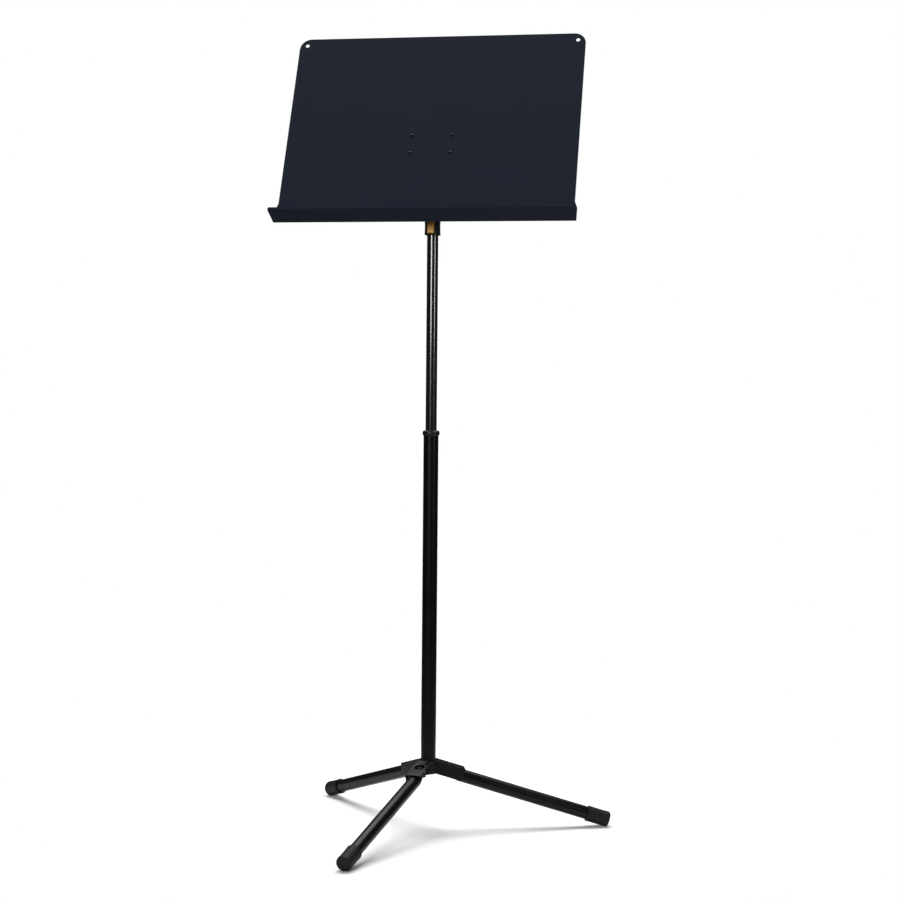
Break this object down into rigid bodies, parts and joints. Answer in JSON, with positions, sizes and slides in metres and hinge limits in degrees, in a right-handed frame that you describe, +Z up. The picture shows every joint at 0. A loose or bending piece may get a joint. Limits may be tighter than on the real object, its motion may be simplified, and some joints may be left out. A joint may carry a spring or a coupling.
{
  "type": "music stand",
  "caption": "Orchestra music stand: solid tilting desk with a ledge, one-hand height release on a telescopic post, and swivel legs that fold together.",
  "frame": {"origin": "on the floor, on the axis of the post", "axes": "+Z up along the post; the desk faces -Y and is wide along X, at rest"},
  "size_m": [0.5599, 0.5352, 1.3597],
  "materials": {
    "satin_black_steel": "satin powder coat on steel tube",
    "gloss_black_steel": "gloss black stove enamel on steel tube",
    "desk_powder_coat": "matte blue-black powder coat",
    "black_nylon": "moulded nylon, fine grain",
    "black_rubber": "moulded rubber",
    "amber_nylon": "moulded amber nylon",
    "natural_nylon": "turned nylon washer",
    "zinc_casting": "die-cast zinc",
    "black_casting": "black-coated casting",
    "zinc_plated_steel": "zinc-plated",
    "spring_steel": "oiled spring wire",
    "brass": "turned brass",
    "black_screws": "black oxide",
    "desk_rivets_steel": "coated with the desk"
  },
  "bodies": {
    "base": {"lower_tube": "satin_black_steel", "tube_collar": "black_nylon", "foot_plug": "zinc_casting", "hub_spider": "satin_black_steel", "hub_plate": "satin_black_steel", "hub_screw": "black_screws", "leg_pivot_bolts": "black_screws", "leg_pivot_washers": "natural_nylon", "leg_knuckle_right": "zinc_casting", "leg_tube_right": "satin_black_steel", "leg_cap_right": "black_rubber"},
    "front_leg": {"leg_knuckle_front": "zinc_casting", "leg_tube_front": "satin_black_steel", "leg_cap_front": "black_rubber"},
    "rear_leg": {"leg_knuckle_rear": "zinc_casting", "leg_tube_rear": "satin_black_steel", "leg_cap_rear": "black_rubber"},
    "clutch": {"clutch_sleeve": "black_nylon"},
    "mast": {"upper_tube": "gloss_black_steel", "clutch_plug": "zinc_casting", "clutch_spring": "spring_steel", "grip_shell_left": "black_nylon", "grip_shell_right": "black_nylon", "grip_screws": "black_screws", "trigger_pin": "zinc_plated_steel", "tilt_head": "black_casting", "tilt_washers": "natural_nylon", "tilt_bolt": "black_screws", "tilt_nut": "black_screws"},
    "rod": {"release_rod": "zinc_plated_steel", "release_rod_collar": "zinc_plated_steel", "clutch_cone": "brass", "clutch_washer": "zinc_plated_steel", "release_rod_nut": "zinc_plated_steel"},
    "trigger": {"trigger": "amber_nylon"},
    "desk": {"desk_panel": "desk_powder_coat", "tilt_bracket": "desk_powder_coat", "desk_rivets": "desk_rivets_steel"}
  },
  "joints": [
    {"name": "front_leg_swing", "type": "hinge", "parent": "base", "child": "front_leg", "pos_m": [-0.00847, -0.03396, 0.1025], "axis": [0, 0, 1], "range_deg": [0, 120]},
    {"name": "rear_leg_swing", "type": "hinge", "parent": "base", "child": "rear_leg", "pos_m": [-0.02518, 0.02431, 0.1025], "axis": [0, 0, 1], "range_deg": [-120, 0]},
    {"name": "height_slide", "type": "slide", "parent": "base", "child": "clutch", "axis": [0, 0, 1], "range_m": [-0.32, 0.13]},
    {"name": "mast_swivel", "type": "hinge", "parent": "clutch", "child": "mast", "pos_m": [0, 0, 0.6], "axis": [0, 0, 1], "continuous": true},
    {"name": "desk_tilt", "type": "hinge", "parent": "mast", "child": "desk", "pos_m": [0, 0, 1.1519], "axis": [1, 0, 0], "range_deg": [-64.4, 20]},
    {"name": "trigger_squeeze", "type": "hinge", "parent": "mast", "child": "trigger", "pos_m": [0, -0.0138, 1.0495], "axis": [1, 0, 0], "range_deg": [0, 8]},
    {"name": "rod_lift", "type": "slide", "parent": "mast", "child": "rod", "axis": [0, 0, 1], "range_m": [0, 0.00193], "stiffness_N_per_m": 1500, "springref_m": -0.003, "deforming": ["clutch_spring"]}
  ],
  "couplings": [
    {"joint": "trigger_squeeze", "follows": "rod_lift", "rad_per_m": 72.46}
  ]
}
